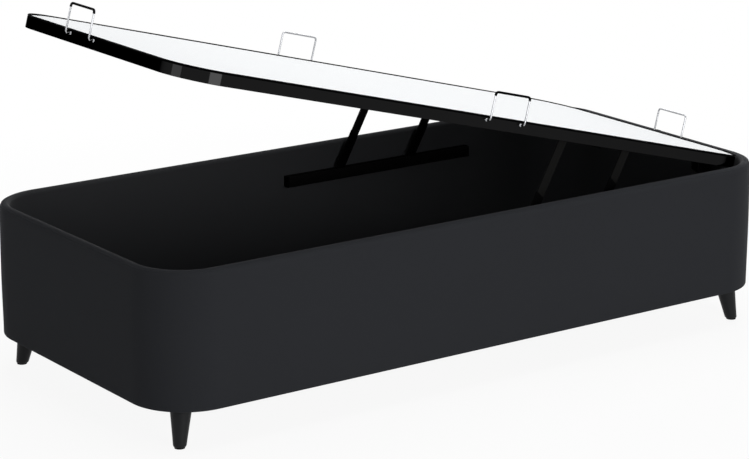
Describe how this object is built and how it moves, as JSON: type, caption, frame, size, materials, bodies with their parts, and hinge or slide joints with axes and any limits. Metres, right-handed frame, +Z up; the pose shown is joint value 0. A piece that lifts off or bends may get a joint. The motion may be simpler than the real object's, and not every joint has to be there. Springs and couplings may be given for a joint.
{
  "type": "divan base",
  "caption": "Upholstered single divan base with rounded corners, tapered legs and a lift-up lid over its storage space, held open by arms in wall rails.",
  "frame": {"origin": "on the floor under the middle of the box", "axes": "+Z up, +Y towards the head end where the lid is hinged, +X to the right seen from the foot end"},
  "size_m": [0.9, 1.9, 0.9851],
  "materials": {
    "cover_fabric": "matte charcoal upholstery",
    "panel_wood": "raw panel",
    "block_wood": "raw softwood",
    "floor_board": "dark lined board",
    "board_wood": "raw board",
    "leg_paint": "satin charcoal",
    "glide_rubber": "matte",
    "zinc_steel": "zinc plated",
    "black_steel": "black paint",
    "chrome_wire": "polished",
    "white_fabric": "white padded fabric",
    "gloss_band": "mirror gloss black",
    "piping": "black piping"
  },
  "bodies": {
    "base": {"side_panel_right": "panel_wood", "side_panel_left": "panel_wood", "foot_panel": "panel_wood", "head_panel": "panel_wood", "corner_shell_head_right": "panel_wood", "corner_block_head_right": "block_wood", "leg_plate_head_right": "zinc_steel", "leg_head_right": "leg_paint", "leg_glide_head_right": "glide_rubber", "corner_shell_head_left": "panel_wood", "corner_block_head_left": "block_wood", "leg_plate_head_left": "zinc_steel", "leg_head_left": "leg_paint", "leg_glide_head_left": "glide_rubber", "corner_shell_foot_right": "panel_wood", "corner_block_foot_right": "block_wood", "leg_plate_foot_right": "zinc_steel", "leg_foot_right": "leg_paint", "leg_glide_foot_right": "glide_rubber", "corner_shell_foot_left": "panel_wood", "corner_block_foot_left": "block_wood", "leg_plate_foot_left": "zinc_steel", "leg_foot_left": "leg_paint", "leg_glide_foot_left": "glide_rubber", "upholstery_cover": "cover_fabric", "floor_board": "floor_board", "floor_batten_1": "block_wood", "floor_batten_2": "block_wood", "floor_batten_3": "block_wood", "wall_rail_right": "black_steel", "gas_cylinder_right": "black_steel", "hinge_bracket_right": "black_steel", "hinge_pin_right": "zinc_steel", "wall_rail_left": "black_steel", "gas_cylinder_left": "black_steel", "hinge_bracket_left": "black_steel", "hinge_pin_left": "zinc_steel"},
    "lid": {"lid_side_tube_right": "black_steel", "lid_side_tube_left": "black_steel", "lid_head_tube": "black_steel", "lid_foot_tube": "black_steel", "lid_crossbar_1": "black_steel", "lid_crossbar_2": "black_steel", "lid_board": "board_wood", "lid_top_pad": "white_fabric", "lid_edge_band": "gloss_band", "lid_piping": "piping", "retainer_foot": "chrome_wire", "retainer_head": "chrome_wire", "retainer_right": "chrome_wire", "retainer_left": "chrome_wire"},
    "arm_front_right": {"arm_front_right": "black_steel"},
    "arm_rear_right": {"arm_rear_right": "black_steel"},
    "gas_rod_right": {"gas_rod_right": "zinc_steel"},
    "arm_front_left": {"arm_front_left": "black_steel"},
    "arm_rear_left": {"arm_rear_left": "black_steel"},
    "gas_rod_left": {"gas_rod_left": "zinc_steel"}
  },
  "joints": [
    {"name": "lid_hinge", "type": "hinge", "parent": "base", "child": "lid", "pos_m": [0, 0.8581, 0.4365], "axis": [1, 0, 0], "range_deg": [0, 15], "stiffness_Nm_per_rad": 80, "springref_deg": -171.89},
    {"name": "arm_front_right_pivot", "type": "hinge", "parent": "lid", "child": "arm_front_right", "pos_m": [0.4065, 0.2599, 0.59368], "axis": [1, 0, 0], "range_deg": [-60.08, 0]},
    {"name": "arm_rear_right_pivot", "type": "hinge", "parent": "lid", "child": "arm_rear_right", "pos_m": [0.4065, 0.46902, 0.53765], "axis": [1, 0, 0], "range_deg": [-54.92, 0]},
    {"name": "gas_rod_right_slide", "type": "slide", "parent": "base", "child": "gas_rod_right", "axis": [0, -1, 0], "range_m": [0, 0.10564]},
    {"name": "arm_front_left_pivot", "type": "hinge", "parent": "lid", "child": "arm_front_left", "pos_m": [-0.4065, 0.2599, 0.59368], "axis": [1, 0, 0], "range_deg": [-60.08, 0]},
    {"name": "arm_rear_left_pivot", "type": "hinge", "parent": "lid", "child": "arm_rear_left", "pos_m": [-0.4065, 0.46902, 0.53765], "axis": [1, 0, 0], "range_deg": [-54.92, 0]},
    {"name": "gas_rod_left_slide", "type": "slide", "parent": "base", "child": "gas_rod_left", "axis": [0, -1, 0], "range_m": [0, 0.10564]}
  ],
  "couplings": [
    {"joint": "arm_front_right_pivot", "follows": "lid_hinge", "ratio": -4.0043},
    {"joint": "arm_rear_right_pivot", "follows": "lid_hinge", "ratio": -3.6602},
    {"joint": "gas_rod_right_slide", "follows": "lid_hinge", "m_per_rad": 0.40315},
    {"joint": "arm_front_left_pivot", "follows": "lid_hinge", "ratio": -4.0043},
    {"joint": "arm_rear_left_pivot", "follows": "lid_hinge", "ratio": -3.6602},
    {"joint": "gas_rod_left_slide", "follows": "lid_hinge", "m_per_rad": 0.40315}
  ]
}
